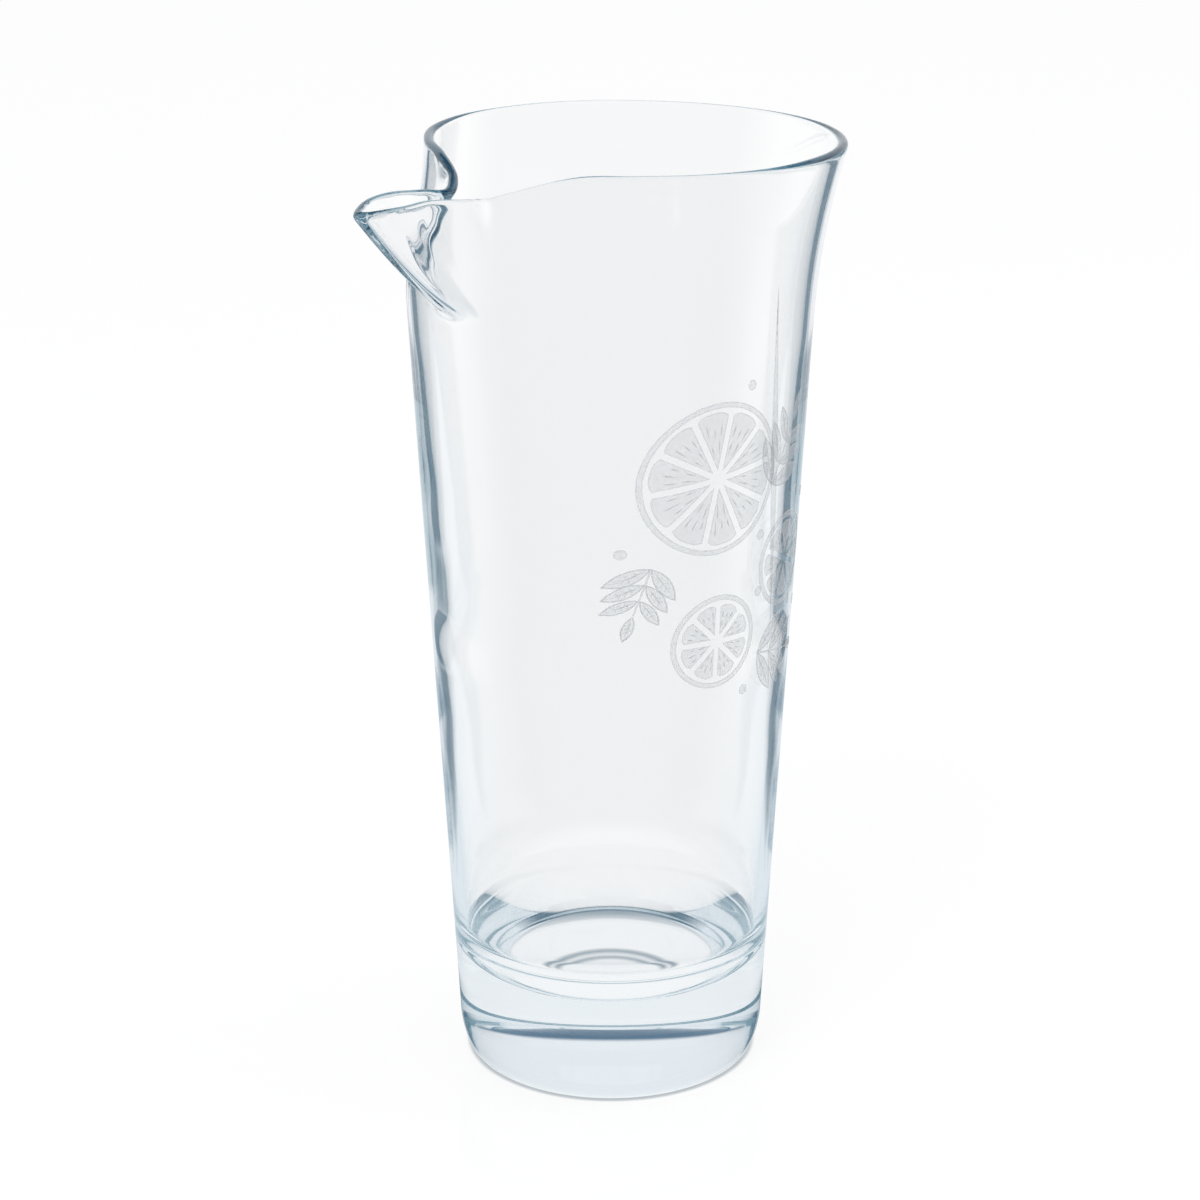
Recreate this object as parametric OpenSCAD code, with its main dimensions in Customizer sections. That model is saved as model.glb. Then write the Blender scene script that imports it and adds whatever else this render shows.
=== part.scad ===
// Cocktail pitcher: one piece of clear glass with a flared rim, a pinched pouring spout
// and a thick base, and a frosted ornament fired on to its front.
// Millimetres. The origin is the centre of the resting face, +Z is up, the spout points
// along -X and the ornament faces -Y.

/* [Body] */
// Height from the resting face to the top of the rim
height = 240; // [225:1:270]
// Outer diameter of the wall just above the heel
heel_d = 79.6; // [74:0.2:84]
// Outer diameter of the wall where the rim starts to flare
neck_d = 99.8; // [94:0.2:104]
// Height of the flared zone, from its start to the top of the rim
flare_h = 45; // [38:1:52]
// Outer diameter of the round part of the rim
rim_d = 114.6; // [108:0.2:122]
// Thickness of the fire-polished bead that runs round the rim
bead_d = 2.6; // [2:0.1:3.4]
// Thickness of the wall at the start of the flare
wall_top_t = 2.4; // [2:0.1:3.2]
// Thickness of the wall just above the base
wall_low_t = 3.9; // [3:0.1:5]

/* [Base] */
// Height of the rounded heel
heel_h = 11; // [7:0.5:14]
// How far the heel draws in from the wall to the face that the pitcher rests on
heel_in = 2.7; // [1.2:0.1:4.5]
// Thickness of glass under the middle of the cavity
floor_t = 25; // [16:0.5:32]
// Rise of the cavity floor at its middle
floor_crown = 0.6; // [0.2:0.1:1.2]
// Diameter of the flat part of the cavity floor
floor_d = 52; // [46:0.5:58]
// How straight the corner between the floor and the wall is, 0 for a round one
corner_flat = 0.55; // [0:0.05:0.8]
// Diameter of the ground and polished hollow under the base
pontil_d = 35.5; // [24:0.5:40]
// Depth of that hollow
pontil_depth = 1.1; // [0.6:0.1:2.4]

/* [Spout] */
// From the axis to the outer end of the spout
spout_reach = 79.6; // [74:0.2:84]
// How far the end of the spout lies below the top of the round rim
tip_drop = 7.8; // [6:0.2:10]
// Width of the pouring channel between the middles of its two edges
channel_w = 16.9; // [15:0.1:19]
// From the axis to the throat, where the channel begins
throat_reach = 46; // [44:0.2:47]
// Width of the throat between the middles of its two edges
throat_w = 15.6; // [14.5:0.1:17]
// From the axis to the innermost part of the two pinches, along the spout
pinch_reach = 39.4; // [38:0.2:41]
// Distance between the innermost parts of the two pinches
pinch_w = 26; // [24:0.2:29]
// From the axis to the middle of the two dents beside the spout, along the spout
dent_reach = 33.4; // [31:0.2:36]
// Distance across the two dents
dent_w = 48.4; // [44:0.2:54]
// Angle from the spout at which the round rim starts to draw in
turn_a = 130; // [118:1:140]

/* [Ornament] */
// From the top of the ornament up to the start of the flare
print_gap = 5; // [3:0.5:12]
// Width of the ornament, seen from the front
print_w = 68; // [60:1:72]
// Height of the ornament
print_h = 84; // [76:1:88]
// Thickness of the fired layer
print_t = 0.2; // [0.1:0.05:0.4]
// Outer diameter of the large slice
slice_d = 38; // [30:1:40]
// Outer diameter of the two small slices
small_slice_d = 24; // [18:1:26]
// Width of a slice's rind
rind_w = 1.4; // [1:0.1:2.2]
// Gap between the segments of a slice
segment_gap = 0.9; // [0.6:0.1:1.4]
// Length of a sprig's longest leaf
leaf_l = 13; // [10:0.5:15]
// Width of that leaf
leaf_w = 5; // [4:0.2:6]
// Width of a sprig's stem
stem_w = 0.8; // [0.5:0.1:1.2]
// Diameter of a bubble
bubble_d = 2.6; // [1.6:0.1:4]

/* [Hidden] */

// One overrun serves all cuts
over = 1;
// Number of facets on exact round forms
round_fn = 96;

// The wall is a straight cone from the top of the heel to the start of the flare
flare_z = height - flare_h;
wall_slope = (neck_d - heel_d) / 2 / (flare_z - heel_h);
function wall_r(z) = heel_d / 2 + wall_slope * (z - heel_h);

// The heel's arc runs from the resting face to the wall, upright at heel_h
foot_r = heel_d / 2 - heel_in;
heel_r = (heel_in * heel_in + heel_h * heel_h) / 2 / heel_in;
heel_steps = 8;

// The cavity: floor, rounded corner and inner wall
corner_z = floor_t + (wall_r(floor_t) - wall_low_t - floor_d / 2);
function inner_r(z) =
    let (share = (z - corner_z) / (flare_z - corner_z))
    wall_r(z) - wall_low_t - (wall_top_t - wall_low_t) * share;
corner_steps = 8;

// The rim's middle line, half of it, as rows of: along the spout, across it, drop below
// the round rim and angle on the round wall below, then the climb to the rim as the share
// of the flare where it starts, its power and its belly
bead_r = bead_d / 2;
ring_r = rim_d / 2 - bead_r;
tip_u = spout_reach - bead_r;
channel_run = tip_u - throat_reach;
channel_half = channel_w / 2;
// Shares of the channel's run, half width and drop, with the angles and climbs
lip_shares = [[1, 0, 1], [0.78, 0.7, 0.85], [0.55, 0.83, 0.77], [0.22, 1, 0.91]];
lip_angles = [0, 7.2, 9.5, 12.5];
lip_climbs = [[0.2, 0.7, 0], [0.21, 0.72, 0], [0.24, 0.8, 0], [0.32, 1.1, 0]];
lip_rows = [for (i = [0:len(lip_shares) - 1])
    concat([throat_reach + channel_run * lip_shares[i][0], channel_half * lip_shares[i][1],
        tip_drop * lip_shares[i][2], lip_angles[i]], lip_climbs[i])];
// The throat, the pinch and the dent, with shares of the tip's drop, angles and climbs
side_places = [[throat_reach, throat_w / 2], [pinch_reach, pinch_w / 2], [dent_reach, dent_w / 2]];
drop_shares = [1, 0.74, 0.31];
side_angles = [15.5, 22, 38];
side_climbs = [[0.5, 1.5, 0.2], [0.45, 1.6, 0.8], [0.12, 1.4, 2]];
side_rows = [for (i = [0:len(side_places) - 1])
    concat(side_places[i], [tip_drop * drop_shares[i], side_angles[i]], side_climbs[i])];
// The rim then opens out to its round part over shares of the way in angle, radius and drop
dent_a = atan2(dent_w / 2, dent_reach);
dent_r = norm([dent_reach, dent_w / 2]);
open_shares = [[0.19, 0.25, 0.2], [0.37, 0.56, 0.14], [0.58, 0.83, 0.09], [0.81, 0.96, 0.03]];
round_climb = [0, 2.45, 0];
open_rows = [for (share = open_shares)
    let (a = dent_a + (turn_a - dent_a) * share[0], r = dent_r + (ring_r - dent_r) * share[1])
    concat([r * cos(a), r * sin(a), tip_drop * share[2], a],
        side_climbs[2] * (1 - share[1]) + round_climb * share[1])];
function round_row(a) = concat([ring_r * cos(a), ring_r * sin(a), 0, a], round_climb);
function across(row) = [row[0], -row[1], row[2], -row[3], row[4], row[5], row[6]];
turn_step = (180 - turn_a) / 3;
rows = concat([across(lip_rows[1])], lip_rows, side_rows, open_rows,
    [round_row(turn_a), round_row(turn_a + turn_step)]);

// A curve through the rows: Catmull-Rom with centripetal knots
function knot_gap(p, q) = sqrt(norm([q[0] - p[0], q[1] - p[1]]));
function mix(p, q, a, b, t) = p * ((b - t) / (b - a)) + q * ((t - a) / (b - a));
function curve_row(p, q, r, s, share) =
    let (k1 = knot_gap(p, q), k2 = k1 + knot_gap(q, r), k3 = k2 + knot_gap(r, s),
        t = k1 + (k2 - k1) * share,
        a = mix(p, q, 0, k1, t), b = mix(q, r, k1, k2, t), c = mix(r, s, k2, k3, t))
    mix(mix(a, b, 0, k2, t), mix(b, c, k1, k3, t), k1, k2, t);
steps = 4;
round_steps = 12;
half_rows = concat(
    [for (i = [1:len(rows) - 3], j = [0:steps - 1])
        curve_row(rows[i - 1], rows[i], rows[i + 1], rows[i + 2], j / steps)],
    [for (i = [0:round_steps]) round_row(turn_a + (180 - turn_a) * i / round_steps)]);
last_row = len(half_rows) - 1;
all_rows = concat(half_rows, [for (i = [last_row - 1:-1:1]) across(half_rows[i])]);
row_count = len(all_rows);

// The flared zone starts a little inside the top of the straight wall, so that the two
// are one piece without faces that nearly coincide
seat_depth = 1;
seat_inset = 0.1;
seat_z = flare_z - seat_depth;

// The middle surface of the flared zone climbs from the wall to the rim's middle line
climb_shares = [0, 0.1, 0.2, 0.26, 0.33, 0.42, 0.52, 0.62, 0.72, 0.82, 0.91, 1];
climb_count = len(climb_shares);
// Share of the climb over which its start is rounded
ease = 0.12;
function eased(share, power) = pow(share * share + ease * ease, power / 2) - pow(ease, power);
function climb(row, t) =
    let (share = max(0, (t - row[4]) / (1 - row[4])))
    eased(share, row[5]) / eased(1, row[5]) + row[6] * share * share * (1 - share);
function middle_point(row, t) =
    let (z = seat_z + (height - bead_r - row[2] - seat_z) * t, h = climb(row, t),
        r = wall_r(z) - wall_top_t / 2)
    [-(r * cos(row[3]) * (1 - h) + row[0] * h), -(r * sin(row[3]) * (1 - h) + row[1] * h), z];
function row_at(i) = all_rows[(i + row_count) % row_count];
nudge = 0.01;
function up_way(i, t) =
    let (a = middle_point(row_at(i), min(1, t + nudge)), b = middle_point(row_at(i), max(0, t - nudge)))
    (a - b) / norm(a - b);
function side_way(i, t) =
    middle_point(row_at(i + 1), t) - middle_point(row_at(i - 1), t);
function out_way(i, t) =
    let (n = cross(side_way(i, t), up_way(i, t)))
    n / norm(n);
function half_wall(t) =
    (wall_top_t + (bead_d - wall_top_t) * pow(t, 4)) / 2 - seat_inset * max(0, 1 - t / climb_shares[2]);
bead_steps = 5;

// The ornament's place on the straight wall, and its slices, sprigs and bubbles
print_z = flare_z - print_gap - print_h / 2;
slice_place_shares = [[-0.3, 0.42], [0.5, -0.2], [-0.24, -0.57]];
slice_segments = [10, 8, 8];
slice_turns = [8, 20, 0];
sprig_place_shares = [[0.24, 0.3], [0.18, -0.72], [-0.74, -0.07]];
sprig_turns = [58, -12, 255];
sprig_size_shares = [1, 1, 0.75];
sprig_pairs = 3;
leaf_spread = 48;
// Share of a leaf's length between two pairs
pair_share = 0.42;
bubble_place_shares = [[0.62, 0.2], [0.86, 0.12], [0.14, 0.02], [0.15, -0.33], [-0.92, 0.02],
    [0.04, -0.92], [0.84, -0.56], [-0.04, 0.94]];

module glass_revolve() {
    rotate_extrude($fn = round_fn)
        polygon(concat(
            [[0, 0], [foot_r, 0]],
            [for (i = [1:heel_steps])
                let (z = heel_h * i / heel_steps)
                [heel_d / 2 - heel_r + sqrt(heel_r * heel_r - pow(heel_h - z, 2)), z]],
            [[neck_d / 2, flare_z], [inner_r(flare_z), flare_z]],
            [for (i = [0:corner_steps])
                let (share = i / corner_steps, a = 90 * share,
                    out = cos(a) * (1 - corner_flat) + (1 - share) * corner_flat,
                    down = sin(a) * (1 - corner_flat) + share * corner_flat)
                [floor_d / 2 + (inner_r(corner_z) - floor_d / 2) * out,
                    corner_z - (corner_z - floor_t) * down]],
            [[0, floor_t + floor_crown]]));
}

module pontil_cut() {
    ball_r = (pow(pontil_d / 2, 2) + pow(pontil_depth, 2)) / 2 / pontil_depth;
    translate([0, 0, pontil_depth - ball_r])
        sphere(r = ball_r, $fn = round_fn);
}

module glass_flare() {
    outer = [for (k = [0:climb_count - 1], i = [0:row_count - 1])
        let (t = climb_shares[k]) middle_point(row_at(i), t) + out_way(i, t) * half_wall(t)];
    bead = [for (k = [1:bead_steps], i = [0:row_count - 1])
        let (a = 180 * k / (bead_steps + 1))
        middle_point(row_at(i), 1) + (out_way(i, 1) * cos(a) + up_way(i, 1) * sin(a)) * bead_r];
    inner = [for (k = [climb_count - 1:-1:0], i = [0:row_count - 1])
        let (t = climb_shares[k]) middle_point(row_at(i), t) - out_way(i, t) * half_wall(t)];
    ring_count = 2 * climb_count + bead_steps;
    faces = [for (k = [0:ring_count - 1], i = [0:row_count - 1])
        let (j = (i + 1) % row_count, a = k * row_count, b = ((k + 1) % ring_count) * row_count)
        each [[a + i, b + i, b + j], [a + i, b + j, a + j]]];
    polyhedron(points = concat(outer, bead, inner), faces = faces, convexity = 6);
}

// The whole pitcher is one piece of glass
module glass_body() {
    color([0.86, 0.92, 0.95, 0.45]) {
        difference() {
            glass_revolve();
            pontil_cut();
        }
        glass_flare();
    }
}

module slice(d, segments) {
    inner_r = d / 2 - rind_w - segment_gap;
    difference() {
        circle(d = d, $fn = round_fn);
        circle(d = d - 2 * rind_w, $fn = round_fn);
    }
    difference() {
        circle(r = inner_r, $fn = round_fn);
        for (i = [0:segments - 1])
            rotate(360 * i / segments)
                translate([0, -segment_gap / 2])
                    square([inner_r + over, segment_gap]);
    }
}

module leaf(l, w) {
    arc_r = (pow(l / 2, 2) + pow(w / 2, 2)) / w;
    intersection() {
        translate([l / 2, arc_r - w / 2]) circle(r = arc_r, $fn = round_fn);
        translate([l / 2, w / 2 - arc_r]) circle(r = arc_r, $fn = round_fn);
    }
}

// A straight stem with pairs of leaves that get smaller towards its tip, and one at its end
module sprig(size_share) {
    stem_l = leaf_l * size_share * sprig_pairs * pair_share;
    translate([0, -stem_w / 2])
        square([stem_l + stem_w, stem_w]);
    for (i = [0:sprig_pairs]) {
        size = size_share * (1 - i / (sprig_pairs + 1) / 2);
        translate([stem_l * i / sprig_pairs, 0])
            for (way = i == sprig_pairs ? [0] : [-1, 1])
                rotate(way * leaf_spread)
                    leaf(leaf_l * size, leaf_w * size);
    }
}

// Each place is a pair of shares of the ornament's half width and half height
module put(place_share, turn = 0) {
    translate([place_share[0] * print_w / 2, place_share[1] * print_h / 2])
        rotate(turn) children();
}

module ornament_outline() {
    for (i = [0:len(slice_place_shares) - 1])
        put(slice_place_shares[i], slice_turns[i])
            slice(i == 0 ? slice_d : small_slice_d, slice_segments[i]);
    for (i = [0:len(sprig_place_shares) - 1])
        put(sprig_place_shares[i], sprig_turns[i])
            sprig(sprig_size_shares[i]);
    for (place = bubble_place_shares)
        put(place)
            circle(d = bubble_d, $fn = round_fn);
}

// The fired layer covers the cone of the wall, so it is cut from a thin cone shell
module frosted_ornament() {
    low_z = print_z - print_h / 2;
    high_z = print_z + print_h / 2;
    color([0.88, 0.89, 0.91])
        intersection() {
            rotate_extrude($fn = round_fn)
                polygon([[wall_r(low_z), low_z], [wall_r(low_z) + print_t, low_z],
                    [wall_r(high_z) + print_t, high_z], [wall_r(high_z), high_z]]);
            translate([0, 0, print_z])
                rotate([90, 0, 0])
                    linear_extrude(height = neck_d)
                        ornament_outline();
        }
}

glass_body();
frosted_ornament();
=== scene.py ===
import math

import bmesh
import bpy
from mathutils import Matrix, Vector, noise


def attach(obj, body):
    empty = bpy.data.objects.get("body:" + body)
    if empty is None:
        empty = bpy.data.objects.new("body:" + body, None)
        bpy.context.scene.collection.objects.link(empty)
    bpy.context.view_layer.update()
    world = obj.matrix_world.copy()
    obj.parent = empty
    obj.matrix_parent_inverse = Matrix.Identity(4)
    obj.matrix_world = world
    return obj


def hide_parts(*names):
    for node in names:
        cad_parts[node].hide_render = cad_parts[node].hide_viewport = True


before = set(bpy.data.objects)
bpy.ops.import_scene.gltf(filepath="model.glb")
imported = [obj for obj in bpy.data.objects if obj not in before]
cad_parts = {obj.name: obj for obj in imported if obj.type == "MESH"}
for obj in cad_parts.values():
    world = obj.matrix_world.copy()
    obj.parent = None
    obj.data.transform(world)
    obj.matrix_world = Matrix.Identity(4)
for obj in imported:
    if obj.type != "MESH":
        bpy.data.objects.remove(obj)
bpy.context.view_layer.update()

bl_info = {
    "name": "Cocktail Pitcher",
    "version": (1, 0, 0),
    "blender": (4, 5, 0),
    "location": "3D View > Sidebar > Pitcher",
    "description": "Clear glass cocktail pitcher with a pinched spout and a frosted citrus ornament",
    "category": "Object",
}

MM_PER_M = 1000


def length(name, description, default):
    return bpy.props.FloatProperty(name=name, description=description, default=default, unit="LENGTH", precision=5)


def colour(name, description, default):
    return bpy.props.FloatVectorProperty(
        name=name, description=description, default=default, size=3, min=0, max=1, subtype="COLOR")


class PitcherSizes(bpy.types.PropertyGroup):
    """Sizes of the pitcher, in metres"""
    height: length("Height", "From the resting face to the top of the rim", 0.240)
    heel_d: length("Heel diameter", "Outer diameter of the wall just above the heel", 0.0796)
    neck_d: length("Neck diameter", "Outer diameter of the wall where the flare starts", 0.0998)
    flare_h: length("Flare height", "Height of the flared zone", 0.046)
    rim_d: length("Rim diameter", "Outer diameter of the round part of the rim", 0.1146)
    bead_d: length("Bead", "Thickness of the fire-polished bead on the rim", 0.0026)
    wall_top: length("Wall at the flare", "Thickness of the wall where the flare starts", 0.0024)
    wall_low: length("Wall at the base", "Thickness of the wall just above the base", 0.0033)
    heel_h: length("Heel height", "Height of the rounded heel", 0.011)
    heel_in: length("Heel draw", "How far the heel draws in to the resting face", 0.0027)
    foot_round: length("Foot rounding", "Radius of the polished edge of the resting face", 0.0005)
    floor: length("Floor", "Thickness of glass under the middle of the cavity", 0.025)
    floor_crown: length("Floor crown", "Rise of the cavity floor at its middle", 0.0006)
    floor_d: length("Floor diameter", "Diameter of the flat part of the cavity floor", 0.052)
    corner_flat: bpy.props.FloatProperty(
        name="Corner flatness", description="How straight the corner between floor and wall is, 0 for a round one",
        default=0.55, min=0, max=1, subtype="FACTOR")
    pontil_d: length("Hollow diameter", "Diameter of the polished hollow under the base", 0.0355)
    pontil_depth: length("Hollow depth", "Depth of that hollow", 0.0006)
    bulge: length("Wall bulge", "How much thicker the blown wall is at mid height", 0.0014)
    bulge_low: length("Bulge, lower end", "Height at which the thicker zone starts", 0.110)
    bulge_high: length("Bulge, upper end", "Height at which the thicker zone ends", 0.190)
    bulge_rise: length("Bulge rise", "Height over which the wall thickens at the lower end", 0.014)
    bulge_fade: length("Bulge fade", "Height over which the wall thins towards the upper end", 0.07)
    wave: length("Wall waviness", "How much the thickness of the wall varies", 0.00006)


class SpoutSizes(bpy.types.PropertyGroup):
    """Sizes of the pinched spout, in metres"""
    reach: length("Reach", "From the axis to the outer end of the spout", 0.0796)
    drop: length("Drop", "How far the end of the spout lies below the round rim", 0.0078)
    channel_w: length("Channel width", "Width of the pouring channel", 0.0169)
    throat_reach: length("Throat reach", "From the axis to the throat", 0.046)
    throat_w: length("Throat width", "Width of the throat", 0.0156)
    pinch_reach: length("Pinch reach", "From the axis to the innermost part of the pinches", 0.0394)
    pinch_w: length("Pinch width", "Distance between the innermost parts of the pinches", 0.026)
    dent_reach: length("Dent reach", "From the axis to the middle of the dents", 0.0334)
    dent_w: length("Dent width", "Distance across the two dents", 0.0484)
    turn: bpy.props.FloatProperty(
        name="Turn", description="Angle from the spout at which the round rim starts to draw in",
        default=math.radians(130), subtype="ANGLE")


class OrnamentSizes(bpy.types.PropertyGroup):
    """Sizes of the frosted ornament, in metres"""
    middle: length("Middle", "Height of the middle of the ornament", 0.148)
    width: length("Width", "Width of the ornament", 0.068)
    height: length("Height", "Height of the ornament", 0.084)
    slice_d: length("Large slice", "Diameter of the large citrus slice", 0.038)
    small_slice_d: length("Small slices", "Diameter of the two small slices", 0.024)
    rind_w: length("Rind", "Width of a slice's rind", 0.0014)
    segment_gap: length("Segment gap", "Clear gap between the segments of a slice", 0.0009)
    leaf_l: length("Leaf length", "Length of the longest leaf", 0.013)
    leaf_w: length("Leaf width", "Width of the longest leaf", 0.0039)
    stem_w: length("Stem", "Width of a sprig's stem", 0.0006)
    bubble_d: length("Bubbles", "Diameter of the bubbles", 0.0026)
    line_w: length("Line", "Width of the drawn lines", 0.00032)
    layer: length("Layer", "Thickness of the fired layer", 0.00006)
    lift: length("Lift", "Gap between the wall and the layer", 0.00003)


class PitcherColours(bpy.types.PropertyGroup):
    """Colours and finishes"""
    tint: colour("Glass tint", "Colour that a long way through the glass leaves", (0.2, 0.52, 0.66))
    tint_density: bpy.props.FloatProperty(
        name="Tint density", description="How fast the tint builds up, per metre", default=2.0, min=0)
    index: bpy.props.FloatProperty(name="Index", description="Refractive index of the glass", default=1.5, min=1)
    foot_wear: bpy.props.FloatProperty(
        name="Foot wear", description="Roughness of the ring that the pitcher stands on", default=0.05, min=0, max=1,
        subtype="FACTOR")
    frost: colour("Frost", "Colour of the fired ornament", (0.5, 0.52, 0.54))
    line_cover: bpy.props.FloatProperty(
        name="Line cover", description="How much the ornament's lines hide what is behind them",
        default=0.36, min=0, max=1, subtype="FACTOR")
    fill_cover: bpy.props.FloatProperty(
        name="Fill cover", description="How much the ornament's filled parts hide what is behind them",
        default=0.24, min=0, max=1, subtype="FACTOR")
    paper: colour("Paper", "Colour of the floor and the background", (1.0, 1.0, 1.0))
    # Painted shade: the floor shows this colour as dark cards, lines and rings, painted and not things on the stage
    shade: colour("Shade", "Colour of the dark cards round the pitcher", (0.07, 0.15, 0.21))
    room: colour("Room", "Colour of the room on the camera's side", (0.09, 0.17, 0.26))
    # Painted shade: mirrored rays see the paper near the pitcher darkened to this colour
    painted_dusk: colour("Dusk", "Colour of the floor that the glass mirrors near by", (0.7, 0.78, 0.84))
    deep: colour("Deep", "Colour of the light that the glass leads along its wall", (0.42, 0.52, 0.56))
    haze: colour("Haze", "Colour of the studio that the glass mirrors", (0.94, 0.955, 0.975))


class PitcherCamera(bpy.types.PropertyGroup):
    """The photograph's camera"""
    lens: bpy.props.FloatProperty(name="Lens", description="Focal length", default=89.586, unit="CAMERA")
    away: length("Distance", "From the axis to the camera, along the floor", 0.720)
    high: length("Height", "Height of the camera", 0.36216)
    azimuth: bpy.props.FloatProperty(
        name="Azimuth", description="Turn of the view round the pitcher",
        default=math.radians(-44), subtype="ANGLE")
    pitch: bpy.props.FloatProperty(
        name="Pitch", description="How far the camera looks down", default=math.radians(18.454), subtype="ANGLE")
    shift: bpy.props.FloatProperty(name="Shift", description="Sideways shift of the frame", default=-0.0089)


# Modelling helpers

MERGE = 1e-7
# Size of a shape before its points are set
START_SIZE = 0.001


def clear_selection():
    if bpy.context.object and bpy.context.object.mode != "OBJECT":
        bpy.ops.object.mode_set(mode="OBJECT")
    bpy.ops.object.select_all(action="DESELECT")


def new_piece(name):
    piece = bpy.context.object
    piece.name = name
    piece.data.name = name
    return piece


def tidy_mesh(piece):
    """Merges doubles and turns all faces outwards."""
    bpy.context.view_layer.objects.active = piece
    bpy.ops.object.mode_set(mode="EDIT")
    bpy.ops.mesh.select_all(action="SELECT")
    bpy.ops.mesh.remove_doubles(threshold=MERGE)
    bpy.ops.mesh.normals_make_consistent(inside=False)
    bpy.ops.object.mode_set(mode="OBJECT")


def select_edge(line, ends):
    """Selects the one edge between two vertices, in object mode."""
    for edge in line.data.edges:
        edge.select = set(edge.vertices) == ends


def open_line(name, points):
    """A line of edges through points in the XZ plane, laid out from an opened circle."""
    clear_selection()
    bpy.ops.mesh.primitive_circle_add(vertices=len(points), radius=START_SIZE)
    line = new_piece(name)
    bpy.ops.object.mode_set(mode="EDIT")
    bpy.ops.mesh.select_all(action="DESELECT")
    bpy.ops.object.mode_set(mode="OBJECT")
    ends = {0, len(points) - 1}
    select_edge(line, ends)
    bpy.ops.object.mode_set(mode="EDIT")
    bpy.ops.mesh.select_mode(type="EDGE")
    bpy.ops.object.mode_set(mode="OBJECT")
    select_edge(line, ends)
    bpy.ops.object.mode_set(mode="EDIT")
    bpy.ops.mesh.delete(type="EDGE")
    bpy.ops.mesh.select_mode(type="VERT")
    bpy.ops.object.mode_set(mode="OBJECT")
    for vertex, (r, z) in zip(line.data.vertices, points):
        vertex.co = (r, 0, z)
    return line


def nodes_of(material_or_world):
    material_or_world.use_nodes = True
    tree = material_or_world.node_tree
    tree.nodes.clear()
    return tree


def link(tree, a, b):
    tree.links.new(a, b)


def node(tree, kind, **values):
    n = tree.nodes.new(kind)
    for key, value in values.items():
        setattr(n, key, value)
    return n


def calculate(tree, operation, a, b=None, c=None):
    n = node(tree, "ShaderNodeMath", operation=operation)
    for socket, value in zip(n.inputs, (a, b, c)):
        if value is None:
            continue
        if isinstance(value, (int, float)):
            socket.default_value = value
        else:
            link(tree, value, socket)
    return n.outputs[0]


# The glass. The rim is given from the tip of the spout to its round part, as shares of the spout's sizes: along,
# across and drop of the lip, then angles in degrees and, for each place, the share of the wall's height where the
# climb to it starts, its power and its belly.

LIP_SHARES = [(1, 0, 1), (0.78, 0.7, 0.85), (0.55, 0.83, 0.77), (0.22, 1, 0.91)]
LIP_ANGLES = [0, 7.2, 10.5, 15]
LIP_CLIMBS = [(0.2, 0.7, 0), (0.21, 0.72, 0), (0.24, 0.8, 0), (0.32, 1.1, 0)]
SIDE_ANGLES = [19, 26, 40]
SIDE_CLIMBS = [(0.5, 1.5, 0.2), (0.45, 1.6, 0.8), (0.12, 1.4, 2)]
DROP_SHARES = [1, 0.74, 0.31]
OPEN_SHARES = [(0.19, 0.25, 0.2), (0.37, 0.56, 0.14), (0.58, 0.83, 0.09), (0.81, 0.96, 0.03)]
ROUND_CLIMB = (0, 2.45, 0)
# Share of a climb over which its start is rounded
EASE = 0.12
# How far the loft looks up and down the wall for its direction, as a share of its height
NUDGE = 0.01
# The flared zone starts this far inside the top of the straight wall
SEAT_DEPTH = 0.001
# Rows of the rim between two given places, and in its round part
CURVE_ROWS = 24
ROUND_ROWS = 100
# Rows lie closer together where the rim is nearer to the spout than this, by this factor
SPOUT_ZONE = 0.028
SPOUT_CLOSER = 1.9
# Turns and steps of the turned section
TURNS = 384
SPIN_MERGE = 2e-6
HOLLOW_STEPS = 8
SEAT_SHARES = (0.02, 0.5, 0.97)
FOOT_ANGLES = (0, 25, 50)
HEEL_STEPS = 12
WALL_STEPS = 24
FLARE_STEPS = 36
BEAD_STEPS = 10
INNER_STEPS = 64
CORNER_STEPS = 14
FLOOR_STEPS = 12
# The section stands here in the flare until the loft sets it: its height, half its thickness and its rounded top
FLARE_RISE = 0.044
FLARE_HALF = 0.0012
FLARE_TOP = 0.001
# Waves of the blown wall: turns per metre of height, start and strength, then its patches
WAVE_RINGS = ((190, 0, 0.5), (310, 1.3, 0.35), (83, 0.4, 0.6))
WAVE_PATCHES = (16, 16, 22)
WAVE_PATCH_SHARE = 1.2
WAVE_START = 0.01
WAVE_IN = 0.02
WAVE_OUT = 0.03
SMOOTH_ANGLE = math.radians(28)
# The polish of the glass: how much its ripples are drawn out upwards, and how fine, strong and deep they are
RIPPLE_STRETCH = (1, 1, 0.35)
RIPPLE_SCALE = 55
RIPPLE_DETAIL = 1.5
RIPPLE_STRENGTH = 0.1
RIPPLE_DEPTH = 0.0002
# The worn ring is what lies lower than this
WORN_BELOW = 0.00004


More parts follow.
